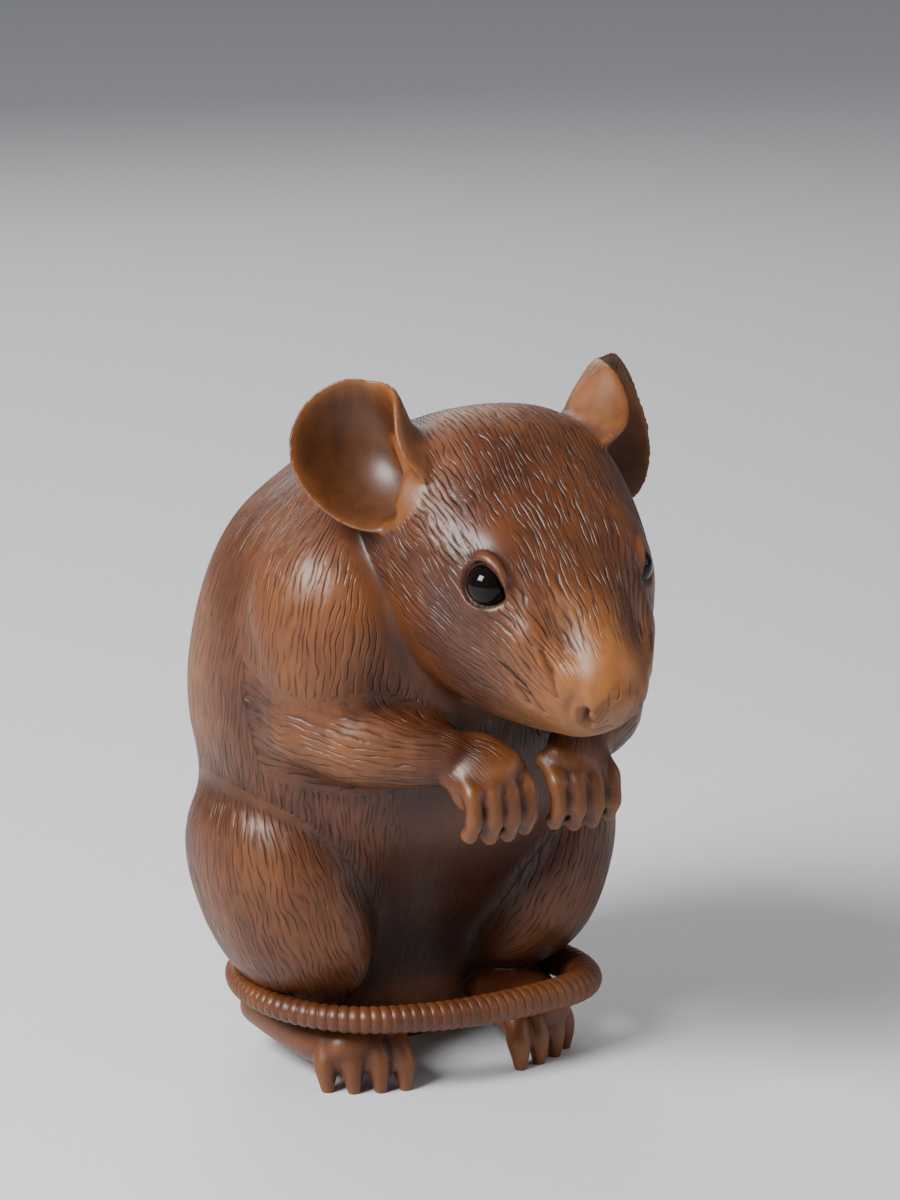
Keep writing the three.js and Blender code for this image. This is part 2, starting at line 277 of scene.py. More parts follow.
# %% Arms, paws and feet
UPPER_ARM = [[10, -9, 60, 7], [13, -11, 53.5, 9.4], [14.5, -12, 47.5, 8.2], [15.4, -12.2, 42.4, 5.6]]
FOREARM = [[16.4, -11.6, 41, 5], [14, -17, 39.8, 4.5], [10.6, -20.8, 39, 3.6], [8, -23, 38.8, 3]]
PALM = [[8.2, -22.4, 39, 2.8], [6.4, -25, 38.2, 3.9], [5.2, -26.6, 36.8, 4.3]]
PALM_FLAT = 0.55
FINGER_RADIUS = 1.02
PAW_SHIFT = 0.9
FOOT = [[13.2, 4, 5.4, 4.1], [12.2, -1, 5, 4.6], [11.2, -6.5, 4.5, 4.6], [10.4, -9.8, 4.6, 4.2]]
FOOT_FLAT = 0.7
FOOT_LEAD = {-1: 0.6, 1: 0}
TOE_TIPS = [[6.8, -13.8], [9.4, -13.2], [12, -12.1], [14.2, -10.4]]
TOE_RADIUS = 1.28
CLAW_TIP_RADIUS = 0.75
JOINT_SWELL = 0.12
FINGER_SLOTS = (-1.5, -0.5, 0.5, 1.5)
FINGER_PITCH = 2.1


def over_paws(side, stations):
    """Stations on one side, carried a little to the rat's left as they reach forward to the paws."""
    return [[side * x + PAW_SHIFT * min(1, (-12 - y) / 12), y, z, r] for x, y, z, r in stations]


def set_back(side, stations):
    """Stations of a hind foot, the right one a little behind the left."""
    return [[side * x, y + FOOT_LEAD[side], z, r] for x, y, z, r in stations]


def finger(side, slot):
    """A finger bent over the knuckle, with a joint at its middle and a full tip."""
    x = 4.9 + slot * FINGER_PITCH
    lead = 0.35 * abs(slot)
    stations = [
        [x, -26.2 + lead, 37.8, FINGER_RADIUS],
        [x, -28.6 + lead, 36, FINGER_RADIUS],
        [x, -29 + lead, 33.4, FINGER_RADIUS * 0.95],
        [x, -28 + lead, 31.3 + lead, FINGER_RADIUS * 0.9],
    ]
    knuckles = lambda t: JOINT_SWELL * np.cos(t * 3 * np.pi) ** 2 - 0.1
    return limb(over_paws(side, stations), (side, 0, 0), count=20, steps=40, swell=knuckles)


def toe(side, slot):
    """A toe that drops from the foot and ends in a claw on the ground."""
    x, y = TOE_TIPS[slot]
    inward = (slot - 1) * 0.3
    stations = [
        [x - inward * 2.4, y + 4.4, 6.2, TOE_RADIUS],
        [x - inward, y + 1.7, 5.4, TOE_RADIUS],
        [x, y + 0.3, 2.6, TOE_RADIUS * 0.96],
        [x, y, 0.3, CLAW_TIP_RADIUS],
    ]
    joint = lambda t: JOINT_SWELL * np.exp(-(((t - 0.62) / 0.09) ** 2))
    return limb(set_back(side, stations), (side, 0, 0), count=20, steps=40, swell=joint)


print("fingers and toes on each side:", len(FINGER_SLOTS), len(TOE_TIPS))


# %% [markdown]
# ## The ears
#
# Each ear is a thin bowl whose front edge rolls over inwards. It is laid out flat, as a disc with its own
# outline, then dished, then its front is wrapped round a thin cylinder. The back is the same surface moved
# out by the wall, so the wood stays evenly thin.

# %% Ears
EAR_FACING = np.array([0.52, -0.76, 0.36])
EAR_HALF_LENGTH = 7.6
EAR_HALF_WIDTH = 6.8
EAR_DEPTH = 4.2
EAR_WALL = 1.0
EAR_ROLL_START = 2.8
EAR_ROLL_RADIUS = 1.6
EAR_HOLLOW_SHARE = 0.94
EAR_HOLLOW_REACH = 2.2
EAR_POINTS_ROUND = 96
EAR_ROOT = [[8.5, -19, 61, 4.4], [10, -15.6, 64.5, 3.6], [11, -13, 67, 2.2]]
EARS = {
    -1: {"middle": np.array([-13.6, -18, 69.6]), "lean": 0.16, "point": 0},
    1: {"middle": np.array([15, -17.8, 69.2]), "lean": 0.62, "point": 0.18},
}


def ear_frame(side):
    """The ear's middle, the way that it faces, the way to its tip and the way to its rolled edge."""
    facing = unit(EAR_FACING * [side, 1, 1])
    lean = np.array([EARS[side]["lean"] * side, 0.5, 0.86])
    axis = unit(lean - facing * (lean @ facing))
    return EARS[side]["middle"], facing, axis, np.cross(facing, axis) * side


def ear_sheet(side, share, turn, wall, rolled=True):
    """The dish is EAR_DEPTH (1 - share^2) deep, and past the roll's start it turns by distance / radius."""
    middle, facing, axis, inward = ear_frame(side)
    drawn = 1 + EARS[side]["point"] * np.maximum(0, np.cos(turn)) ** 8
    taper = np.where(np.sin(turn) > 0, -0.22, 0.14)
    along = np.cos(turn) * share * EAR_HALF_LENGTH * drawn
    flat = np.sin(turn) * share * EAR_HALF_WIDTH * (1 + taper * np.cos(turn))
    if not rolled:
        flat = np.minimum(flat, EAR_ROLL_START)
    roll = np.maximum(0, flat - EAR_ROLL_START) / EAR_ROLL_RADIUS
    across = np.where(roll > 0, EAR_ROLL_START + (EAR_ROLL_RADIUS + wall) * np.sin(roll), flat)
    depth = -EAR_DEPTH * (1 - share**2) - wall + (EAR_ROLL_RADIUS + wall) * (1 - np.cos(roll))
    return middle + along[..., None] * axis + across[..., None] * inward + depth[..., None] * facing


def ear(side):
    """Rings run from the back's middle out to the rim and back in to the bowl's middle."""
    turn = side * circle(EAR_POINTS_ROUND)
    share = np.linspace(0.02, 1, 40)
    rim = np.linspace(0, np.pi, 9)[1:-1]
    back = ear_sheet(side, share[:, None], turn[None], EAR_WALL)
    edge_share = 1 + 0.07 * np.sin(rim)[:, None]
    edge_wall = EAR_WALL * (0.5 + 0.5 * np.cos(rim))[:, None]
    edge = np.stack([ear_sheet(side, s, turn, w) for s, w in zip(edge_share, edge_wall)])
    bowl = ear_sheet(side, share[::-1, None], turn[None], 0.0)
    return skin(np.concatenate([back, edge, bowl]))


def ear_hollow(side):
    """The space in front of the bowl: rings on its wall's middle, out to near the rim, and a lid ahead."""
    turn = side * circle(64)
    share = np.linspace(0.05, EAR_HOLLOW_SHARE, 24)
    floor = ear_sheet(side, share[:, None], turn[None], EAR_WALL / 2, rolled=False)
    lid = ear_sheet(side, np.array([[EAR_HOLLOW_SHARE]]), turn[None], -EAR_HOLLOW_REACH, rolled=False)
    return skin(np.concatenate([floor, lid]))


print("points of an ear:", len(ear(1)[0]))


# %% [markdown]
# ## Eyelids
#
# A low almond-shaped ring of wood stands round each eye. It is a tube bent round the eyeball, and a tube is
# enough, because the skin laid over it later blends it into the head.

# %% Eyes and lids
EYE_RADIUS = 2.15
EYE_ACROSS = {-1: 8.5, 1: 7.8}
EYE_CENTRE = {side: head_point(side * EYE_ACROSS[side], 15, 3.2) for side in SIDES}
LID_LENGTH, LID_HEIGHT, LID_FORWARD, LID_DIP, LID_PINCH, LID_THICKNESS = 2.75, 2.25, 1.05, 0.35, 0.1, 0.5


def eye_frame(side):
    """The eye's centre, the way it looks, the way to its back corner and the way up."""
    look = unit(np.array([side * 0.86, 0, 0]) + HEAD_UP * 0.42 - HEAD_BACK * 0.28)
    back = unit(HEAD_BACK - look * (HEAD_BACK @ look))
    return EYE_CENTRE[side], look, back, np.cross(look, back) * -side


def eyelid(side):
    """At angle a: look (forward - dip cos^2 a) + back length cos a + up height sin a (1 - pinch cos^4 a)."""
    centre, look, back, up = eye_frame(side)
    turn = np.linspace(0, 2 * np.pi, 73)[:-1]
    cosine, sine = np.cos(turn)[:, None], np.sin(turn)[:, None]
    path = centre + look * (LID_FORWARD - LID_DIP * cosine**2)
    rise = LID_HEIGHT * sine * (1 - LID_PINCH * np.abs(cosine) ** 4)
    path = path + back * (LID_LENGTH * cosine) + up * rise
    outward = unit(path - centre)
    along = unit(np.roll(path, -1, 0) - np.roll(path, 1, 0))
    other = np.cross(along, outward)
    tube = np.linspace(0, 2 * np.pi, 17)[:-1]
    ring = np.cos(tube)[None, :, None] * outward[:, None] + np.sin(tube)[None, :, None] * other[:, None]
    return skin(path[:, None] + LID_THICKNESS * ring, looped=True)


print("right eye at", EYE_CENTRE[-1].round(2))


# %% [markdown]
# ## One block
#
# On the real piece all the masses are one block of wood. The closed forms are put in one mesh, and a voxel
# remesh gives them one skin. Then the sharp lines where two masses meet are filled, as a carver rounds them
# with a gouge: a point below the mean of its neighbours moves out, and a point on a ridge stays. The large
# masses are joined first, coarsely, so that their hollows can be wide.


# %% Joining the masses
def mesh_object(name, points, faces, place=True):
    """A mesh object from points, in layout units where place is True and in metres where it is not."""
    data = bpy.data.meshes.new(name)
    world = points * UNIT + ORIGIN if place else points
    data.from_pydata(world.tolist(), [], faces)
    data.update()
    made = bpy.data.objects.new(name, data)
    bpy.context.scene.collection.objects.link(made)
    return made


def joined(parts):
    """Several closed forms as one list of points and one of faces."""
    points, faces, start = [], [], 0
    for these, theirs in parts:
        points.append(these)
        faces.extend([[corner + start for corner in face] for face in theirs])
        start += len(these)
    return np.vstack(points), faces


def after_modifiers(obj):
    """The object's mesh is replaced by what its modifiers make, and they are removed."""
    made = bpy.data.meshes.new_from_object(obj.evaluated_get(bpy.context.evaluated_depsgraph_get()))
    obj.modifiers.clear()
    old, obj.data = obj.data, made
    bpy.data.meshes.remove(old)
    return obj


low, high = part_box("eye_right")
ORIGIN = (np.array(low) + np.array(high)) / 2 - EYE_CENTRE[-1] * UNIT

trunk = [torso()]
parts = [head()]
for side in SIDES:
    trunk += [
        limb(on_side(side, UPPER_ARM), (0, -1, 0), count=48),
        limb(over_paws(side, FOREARM), (0, 0, 1), count=40),
        thigh(side),
    ]
    parts += [
        eyelid(side),
        limb(on_side(side, EAR_ROOT), (0, -1, 0)),
        limb(over_paws(side, PALM), unit(np.array([side * 0.5, -0.6, 0.8])), PALM_FLAT, count=32),
        limb(set_back(side, FOOT), (0, 0, 1), FOOT_FLAT, count=32),
    ]
    parts += [finger(side, slot) for slot in FINGER_SLOTS]
    parts += [toe(side, slot) for slot in range(len(TOE_TIPS))]

COARSE_VOXEL = 0.5
VOXEL = 0.22


def one_skin(obj, voxel):
    """A voxel remesh: one closed skin over everything in the mesh."""
    remesh = obj.modifiers.new("one skin", "REMESH")
    remesh.mode = "VOXEL"
    remesh.voxel_size = voxel * UNIT
    return after_modifiers(obj)


def cut_or_add(obj, operation, form):
    """A boolean with a closed form, which is then taken away."""
    other = mesh_object("tool", *form)
    boolean = obj.modifiers.new("cut", "BOOLEAN")
    boolean.operation = operation
    boolean.solver = "MANIFOLD"
    boolean.object = other
    after_modifiers(obj)
    bpy.data.objects.remove(other)


body = one_skin(mesh_object("trunk", *joined(trunk)), COARSE_VOXEL)
print("points of the trunk:", len(body.data.vertices))


# %% Reading and moving the points of a mesh
def rows_of(source, field):
    """Three numbers of each item as a row."""
    flat = np.empty(len(source) * 3, np.float32)
    source.foreach_get(field, flat)
    return flat.reshape(-1, 3).astype(float)


def points_of(mesh):
    """A mesh's points, in metres."""
    return rows_of(mesh.vertices, "co")


def normals_of(mesh):
    """The normals at a mesh's points."""
    return rows_of(mesh.vertex_normals, "vector")


def set_points(mesh, points):
    """Moves a mesh's points to places in layout units and renews its normals."""
    mesh.vertices.foreach_set("co", (points * UNIT + ORIGIN).astype(np.float32).ravel())
    mesh.update()


def neighbour_mean(mesh):
    """A function that turns values on the points into the mean of each point's neighbours."""
    edges = np.empty(len(mesh.edges) * 2, np.int32)
    mesh.edges.foreach_get("vertices", edges)
    a, b = edges.reshape(-1, 2).T
    size = len(mesh.vertices)
    count = np.maximum(np.bincount(a, minlength=size) + np.bincount(b, minlength=size), 1)

    def mean(values):
        columns = values.reshape(size, -1).T
        sums = [np.bincount(a, column[b], size) + np.bincount(b, column[a], size) for column in columns]
        return (np.stack(sums, -1) / count[:, None]).reshape(values.shape)

    return mean


print("the trunk's size in metres:", np.ptp(points_of(body.data), axis=0).round(4))


# %% Filling the hollows between masses
def hollows(p, normal, average, rounds):
    """How far each point lies below its neighbourhood's mean after some rounds of averaging."""
    spread = p
    for _ in range(rounds):
        spread = spread + 0.7 * (average(spread) - spread)
    return np.sum((spread - p) * normal, axis=1)


def smooth_step(value, low, high):
    """0 below low, 1 above high and t^2 (3 - 2t) between."""
    t = np.clip((value - low) / (high - low), 0, 1)
    return t * t * (3 - 2 * t)


def fade(value, low, high):
    """1 below low and 0 above high."""
    return 1 - smooth_step(value, low, high)


def near_eyes(p, inner, outer):
    """1 within the inner distance of an eye's centre and 0 beyond the outer."""
    return fade(np.minimum(*(np.linalg.norm(p - EYE_CENTRE[side], axis=1) for side in SIDES)), inner, outer)


def fine_work(p):
    """1 on fingers, toes and eyelids, where hollows stay crisp, and 0 on the large masses."""
    _, y, z = p.T
    paws = fade(y, -25.5, -24) * fade(z, 38, 40) * (z > 28)
    return np.max([near_eyes(p, 3.2, 4.6), paws, fade(z, 6, 8) * (y < 0)], axis=0)


def fill_hollows(mesh, passes, room_at):
    """Each pass moves points out to the height of their neighbours' mean, never in; the end evens all."""
    mean = neighbour_mean(mesh)
    p = (points_of(mesh) - ORIGIN) / UNIT
    room = room_at(p)
    for step in range(passes):
        if step % 6 == 0:
            set_points(mesh, p)
            normal = normals_of(mesh)
        lift = np.sum((mean(p) - p) * normal, axis=1)
        p = p + normal * (np.maximum(lift, 0) * room)[:, None]
    for _ in range(3):
        p = p + 0.5 * (mean(p) - p)
    set_points(mesh, p)
    return p, mean


def trunk_room(p):
    """Less filling where the forearm stands free of the belly, and along the front edge of each haunch."""
    _, y, z = p.T
    forearm = fade(y, -16, -11) * fade(z, 48, 54)
    haunch = fade(y, -7, 1) * fade(z, 30, 36)
    return 1 - np.maximum(0.75 * forearm, 0.85 * haunch)


TRUNK_PASSES = 70
SKIN_PASSES = 46
fill_hollows(body.data, TRUNK_PASSES, trunk_room)
print("hollows of the trunk filled in", TRUNK_PASSES, "passes")

# %% Head, paws, feet and ears join the trunk
rest = mesh_object("masses", *joined(parts))
with bpy.context.temp_override(active_object=body, selected_editable_objects=[body, rest]):
    bpy.ops.object.join()
carving = one_skin(body, VOXEL)
carving.name = "carving"
for side in SIDES:
    cut_or_add(carving, "DIFFERENCE", ear_hollow(side))
    cut_or_add(carving, "UNION", ear(side))
mesh = one_skin(carving, VOXEL).data
print("points of the carving:", len(mesh.vertices))
points, mean = fill_hollows(mesh, SKIN_PASSES, lambda p: 1 - 0.96 * fine_work(p))

# %% [markdown]
# ## The face
#
# The face is worked over with a small gouge. The bridge of the nose stays as a ridge between two pressed-in
# sides, the whisker pads and brows are left full, and a deep corner runs from each eye towards the nose. Each
# touch is a soft mound or dent of its own, so it can be moved or deepened alone.


# %% Mounds and dents of the face
# Rows: across, back from the nose tip and up, then the reach each way, then how far out (or in, below zero).
FACE = [
    [4.6, 7.0, 4.0, 2.6, 5.0, 2.4, -1.3],
    [6.0, 6.2, -3.6, 3.0, 3.6, 3.2, 0.4],
    [0, 14, 7.4, 5, 3.4, 3, -0.4],
    [7.9, 11.9, 2.2, 1.9, 2.2, 1.9, -1.0],
    [7.4, 17.2, 6.6, 2.8, 3.6, 2.2, 0.55],
    [0, 1.4, 0.4, 2.4, 3.2, 2.6, 0.5],
    [2.2, 0.9, -1.2, 1.1, 1.2, 1.3, 0.4],
    [4.0, 2.6, -0.8, 1.0, 1.2, 2.0, -0.6],
    [0, 0.8, -4.2, 1.0, 1.4, 1.2, -0.4],
    [9.5, 17, -3.5, 3.5, 4, 3.5, 0.4],
]


def face_relief(p):
    """Sum over the rows of height exp(-(dx / rx)^2 - (dy / ry)^2 - (dz / rz)^2), the same on both sides."""
    q = p - NOSE_TIP
    here = np.stack([np.abs(q[:, 0]), q @ HEAD_BACK, q @ HEAD_UP], -1)
    relief = np.zeros(len(p))
    for row in FACE:
        relief += row[6] * np.exp(-(((here - row[:3]) / row[3:6]) ** 2).sum(-1))
    return relief


relief = face_relief(points)
print("relief of the face from", relief.min().round(2), "to", relief.max().round(2))
points = points + normals_of(mesh) * relief[:, None]
set_points(mesh, points)


# %% [markdown]
# ## Where each mass lies
#
# The hair lines need to know which mass a point is on and which way the hair runs there. Each mass gives its
# own measure: 1 on its surface, more outside. That is simpler than painting the masses.


# %% Measures of the masses
def sizes_at(rows, key):
    """The blended rows' other columns where their first one is at the key."""
    first, *others = through(rows, np.linspace(0, 1, 200)).T
    return [np.interp(key, first, column) for column in others]


def head_measure(p):
    """Distance back from the nose, angle round the head's axis and radial measure of each point."""
    q = p - NOSE_TIP
    back, up = q @ HEAD_BACK, q @ HEAD_UP
    drop, width, above, below = sizes_at(HEAD, back)
    up = up + drop
    return back, np.arctan2(q[:, 0], up + 4), np.hypot(q[:, 0] / width, up / np.where(up > 0, above, below))


def torso_measure(p):
    """Angle round the torso and radial measure of each point."""
    x, y, z = p.T
    middle, width, front, back = sizes_at(TORSO, z)
    depth = y - middle
    return np.arctan2(x, -depth), np.hypot(x / width, depth / np.where(depth < 0, front, back))


def limb_measure(p, stations):
    """Distance along a limb, angle round it and distance from its middle line over its radius."""
    rows = through(stations, np.linspace(0, 1, 24))
    path, radius = rows[:, :3], rows[:, 3]
    steps = distances(path)
    nearest = np.argmin(((p[:, None] - path[None]) ** 2).sum(-1), axis=1)
    along, side, up = frames_along(path, np.array([0, 0, 1.0]))
    off = p - path[nearest]
    onward = (off * along[nearest]).sum(-1)
    a, b = (off * side[nearest]).sum(-1), (off * up[nearest]).sum(-1)
    return steps[nearest] + onward, np.arctan2(a, b), np.hypot(a, b) / radius[nearest]


def thigh_measure(p, side):
    """Places along, up and out of a haunch and its radial measure."""
    centre, out, up, along = thigh_frame(side)
    q = p - centre
    a, b, c = q @ along, q @ up, q @ out
    reach = np.where(c < 0, THIGH_INSIDE, THIGH_OUT)
    size = np.maximum(1 - (c / reach) ** 2, 0.02) ** 0.375
    ratio = np.hypot(a / (THIGH_ALONG * size), b / (np.where(b > 0, THIGH_ABOVE, THIGH_BELOW) * size))
    return a, b, c, ratio


print("the head's measure at the right eye:", head_measure(EYE_CENTRE[-1][None])[2].round(2))


# %% [markdown]
# ## Hair lines
#
# A graver leaves short grooves side by side, each with a deep middle and ends that run out. `graver_strokes`
# lays them in rows, each with its own place, slant and depth. On the head the rows fan back from the nose, on
# the body they run down, and on a haunch they spread from its top. They are cut into the mesh, so that they
# catch light as real grooves do.


# %% Graver strokes
def chance(a, b, seed):
    """A number from 0 to 1 for each pair: the fraction of 43758.5 sin(127.1 a + 311.7 b + 74.7 seed)."""
    wave = np.sin(a * 127.1 + b * 311.7 + seed * 74.7) * 43758.5453
    return wave - np.floor(wave)


def graver_strokes(across, along, pitch, length, seed):
    """Depth of the deepest groove: own depth (1 - offset / half-width) sqrt(sin(pi share))."""
    place = across / pitch
    row = np.floor(place)
    depth = np.zeros_like(place)
    for step in (-1, 0, 1):
        this = row + step
        run = along / length + chance(this, 0, seed)
        cell = np.floor(run)
        share = run - cell
        shift = (chance(this, cell, seed + 1) - 0.5) * 0.35
        slant = (chance(this, cell, seed + 2) - 0.5) * 0.6
        offset = np.abs(place - (this + 0.5 + shift + slant * (share - 0.5)))
        own = 0.55 + 0.45 * chance(this, cell, seed + 3)
        groove = np.clip(1 - offset / 0.52, 0, 1) * np.sqrt(np.sin(np.pi * share)) * own
        depth = np.maximum(depth, groove)
    return depth


def ripple(p, size, seed):
    """Slow unevenness from -1 to 1: a sum of three sine waves in skewed directions."""
    a = np.sin((p @ np.array([1.0, 0.6, -0.3])) / size + seed)
    b = np.sin((p @ np.array([-0.4, 1.0, 0.7])) / size * 1.3 + 2 * seed)
    c = np.sin((p @ np.array([0.5, -0.7, 1.0])) / size * 0.8 + 3 * seed)
    return (a + b + c) / 3


print("a groove's depth across a row:", graver_strokes(np.arange(5) / 5, np.ones(5), 1, 3, 1).round(2))


# %% Where hair is cut, and which way
def beside(value, line, reach):
    """1 where a value is on a line, falling to 0 at a reach from it."""
    return fade(np.abs(value - line), 0.3 * reach, reach)


def ear_nearness(p, side):
    """1 on an ear and 0 away from it: inside the outline and not far behind the bowl."""
    middle, facing, axis, inward = ear_frame(side)
    off = p - middle
    across = off @ inward
    half_width = np.where(across > 0, EAR_ROLL_START + EAR_ROLL_RADIUS + EAR_WALL, EAR_HALF_WIDTH)
    share = np.hypot(off @ axis / EAR_HALF_LENGTH, across / half_width)
    behind = off @ facing + EAR_DEPTH * (1 - share**2) + EAR_WALL
    return fade(share, 1.04, 1.12) * smooth_step(behind, -1.0, -0.4)


def on_ears(p):
    """1 on both ears."""
    return np.maximum(ear_nearness(p, -1), ear_nearness(p, 1))


def hair_places(p):
    """Places across and along the hair, on the head and on the body, and how strong the hair is."""
    x, y, z = p.T
    back, angle, head_ratio = head_measure(p)
    turn, torso_ratio = torso_measure(p)
    on_head = fade(head_ratio, 1.09, 1.13) * fade(back, 33, 39)
    bare = beside(head_ratio, 1.11, 0.08) * (back < 34)
    neck = np.maximum(np.abs(head_ratio - 1), np.abs(torso_ratio - 1))
    bare = np.maximum(bare, fade(neck, 0.15, 0.26) * (back > 10) * (back < 34))
    body_across = turn * 22
    body_along = -z
    for side in SIDES:
        a, b, c, ratio = thigh_measure(p, side)
        on_thigh = (ratio < 1.1) & (torso_ratio > 1.015) & (c > -THIGH_INSIDE)
        body_across = np.where(on_thigh, np.arctan2(a, c + 3) * 12, body_across)
        body_along = np.where(on_thigh, -b, body_along)
        bare = np.maximum(bare, (ratio < 1.12) * (c > -THIGH_INSIDE) * beside(torso_ratio, 1.015, 0.03))
        near = (np.abs(x - side * 11) < 12) & (y < -8) & (np.abs(z - 40) < 9)
        index = np.nonzero(near)[0]
        run, turn_round, ratio = limb_measure(p[index], over_paws(side, FOREARM + PALM[1:]))
        inside = ratio < 1.35
        body_across[index[inside]] = turn_round[inside] * 3.6
        body_along[index[inside]] = run[inside]
        bare[index] = np.maximum(bare[index], beside(ratio, 1.35, 0.16))
    nose = fade(back + 0.25 * np.abs(x), 2.5, 8.5)
    bare = np.maximum(bare, nose * (head_ratio < 1.2))
    belly = fade(np.abs(x), 6, 11) * fade(z, 34, 40) * (y < -2)
    feet = fade(z, 7, 10)
    hands = fade(y, -25.5, -23.5) * fade(z, 39, 41) * (z > 27)
    bare = np.max([bare, on_ears(p), belly * 0.8, feet * 0.9, hands * 0.85, near_eyes(p, 2.5, 3.4)], axis=0)
    return {
        "head_across": angle * 13,
        "muzzle_across": angle * 8,
        "head_along": back,
        "body_across": body_across,
        "body_along": body_along,
        "on_head": on_head,
        "on_muzzle": fade(back, 11, 17),
        "hair": 1 - bare,
    }


EAR_PASSES = 8
ears = on_ears(points)[:, None]
for step in range(EAR_PASSES):
    points = points + 0.5 * ears * (mean(points) - points)
set_points(mesh, points)
print("points on the ears:", int((ears > 0.5).sum()))

# %% Cutting the hair
# Rows: pitch and length of the strokes, and a seed for their unevenness.
HEAD_HAIR, MUZZLE_HAIR, BODY_HAIR = (0.64, 6.5, 1), (0.6, 4.6, 5), (0.95, 6.0, 9)
HEAD_GROOVE, BODY_GROOVE = 0.13, 0.12
WANDER, WANDER_SIZE = 0.2, 2.6

place = hair_places(points)
wander = WANDER * ripple(points, WANDER_SIZE, 1.0)
head_hair = graver_strokes(place["head_across"] + wander, place["head_along"], *HEAD_HAIR)
muzzle_hair = graver_strokes(place["muzzle_across"] + wander, place["head_along"], *MUZZLE_HAIR)
head_hair = head_hair + (muzzle_hair - head_hair) * place["on_muzzle"]
body_hair = graver_strokes(place["body_across"] + wander, place["body_along"], *BODY_HAIR)
depth = place["on_head"] * head_hair * HEAD_GROOVE + (1 - place["on_head"]) * body_hair * BODY_GROOVE

CREASE = 0.16
crease = hollows(points, normals_of(mesh), mean, 40)
depth = depth * place["hair"] * fade(crease, 0.15 * CREASE, CREASE)
print("deepest groove", round(float(depth.max()), 3), "mm")


# %% [markdown]
# ## Nose, whisker marks and the sockets
#
# The nostrils are two comma-shaped cuts at the sides of a round nose pad, and three long scratches on each
# cheek mark the whiskers. Each is a line of points laid on the skin. The wood is cut back a little round each
# eye, deepest at the front corner, so that the lid throws a dark line.


# %% Cuts with the point of the knife
def near_line(p, line):
    """Distance from each point to a polyline, and the share along it of the nearest place."""
    line = np.asarray(line, float)
    best = np.full(len(p), 1e9)
    where = np.zeros(len(p))
    starts = distances(line)
    for a, b, start, length in zip(line[:-1], line[1:], starts, np.diff(starts)):
        t = np.clip(((p - a) @ (b - a)) / length**2, 0, 1)
        gap = np.linalg.norm(p - a - t[:, None] * (b - a), axis=1)
        where = np.where(gap < best, (start + t * length) / starts[-1], where)
        best = np.minimum(best, gap)
    return best, where


def cut(p, line, width, deepness):
    """A groove along a line: depth (1 - gap / width) sin(pi share)^0.5."""
    gap, share = near_line(p, line)
    return deepness * np.clip(1 - gap / width, 0, 1) * np.sqrt(np.clip(np.sin(np.pi * share), 0, 1))


def on_skin(across, along, up):
    """The carving's point that is nearest to a place of the head's frame."""
    return points[np.argmin(((points - head_point(across, along, up)) ** 2).sum(1))]


# Rows of a line: across, back from the nose tip and up.
NOSTRIL = [[2.8, 0.5, -0.6], [3.2, 1.0, -1.5], [2.5, 1.1, -2.5], [1.6, 0.6, -3.1]]
WHISKERS = [
    [[6.4, 6.7, 2.6], [5.9, 4.7, 0.9], [5.0, 3.1, -1.3]],
    [[8.4, 9.3, -1.6], [6.9, 6.5, -2.3], [5.0, 4.0, -4.1]],
    [[7.2, 7.2, -2.7], [5.8, 5.3, -4.1]],
]
MOUTH = [[-4.2, 7.5, -9.6], [-2.4, 4.6, -8.2], [0, 3.4, -7.4], [2.4, 4.6, -8.2], [4.2, 7.5, -9.6]]
# Width and depth of each cut, and of the groove and the front corner of a socket.
NOSTRIL_CUT, WHISKER_CUT, MOUTH_CUT = (0.85, 1.45), (0.48, 0.5), (0.5, 0.4)
SOCKET_CUT, CORNER_CUT = (0.28, 0.5), (0.75, 0.7)

for side in SIDES:
    nostril = [on_skin(side * across, along, up) for across, along, up in NOSTRIL]
    depth = depth + cut(points, nostril, *NOSTRIL_CUT)
    for whisker in WHISKERS:
        scratch = [on_skin(side * across, along, up) for across, along, up in whisker]
        depth = depth + cut(points, scratch, *WHISKER_CUT)
    centre, look, backward, upward = eye_frame(side)
    off = points - centre
    gap = np.linalg.norm(off, axis=1)
    depth = depth + SOCKET_CUT[1] * np.exp(-(((gap - EYE_RADIUS - 0.2) / SOCKET_CUT[0]) ** 2))
    corner = np.linalg.norm(off + backward * 2.35 + upward * 0.5 - look * 0.9, axis=1)
    depth = depth + CORNER_CUT[1] * np.exp(-((corner / CORNER_CUT[0]) ** 2))
depth = depth + cut(points, [on_skin(*row) for row in MOUTH], *MOUTH_CUT)
print("deepest cut", round(float(depth.max()), 2), "mm")

# %% Fewer triangles
points = points - normals_of(mesh) * depth[:, None]
points[:, 2] = np.maximum(points[:, 2], 0)
set_points(mesh, points)

MOST_TRIANGLES = 190_000
triangles = sum(len(face.vertices) - 2 for face in mesh.polygons)
if triangles > MOST_TRIANGLES:
    fewer = carving.modifiers.new("fewer", "DECIMATE")
    fewer.ratio = MOST_TRIANGLES / triangles
    after_modifiers(carving)
print("triangles", triangles, "to", len(carving.data.polygons))


# %% [markdown]
# ## The tail
#
# The tail is cut with rings, one beside the other, so it is a tube whose radius swells between each pair of
# grooves. It stays a piece of its own, because its fine rings would be lost in the skin of the body.

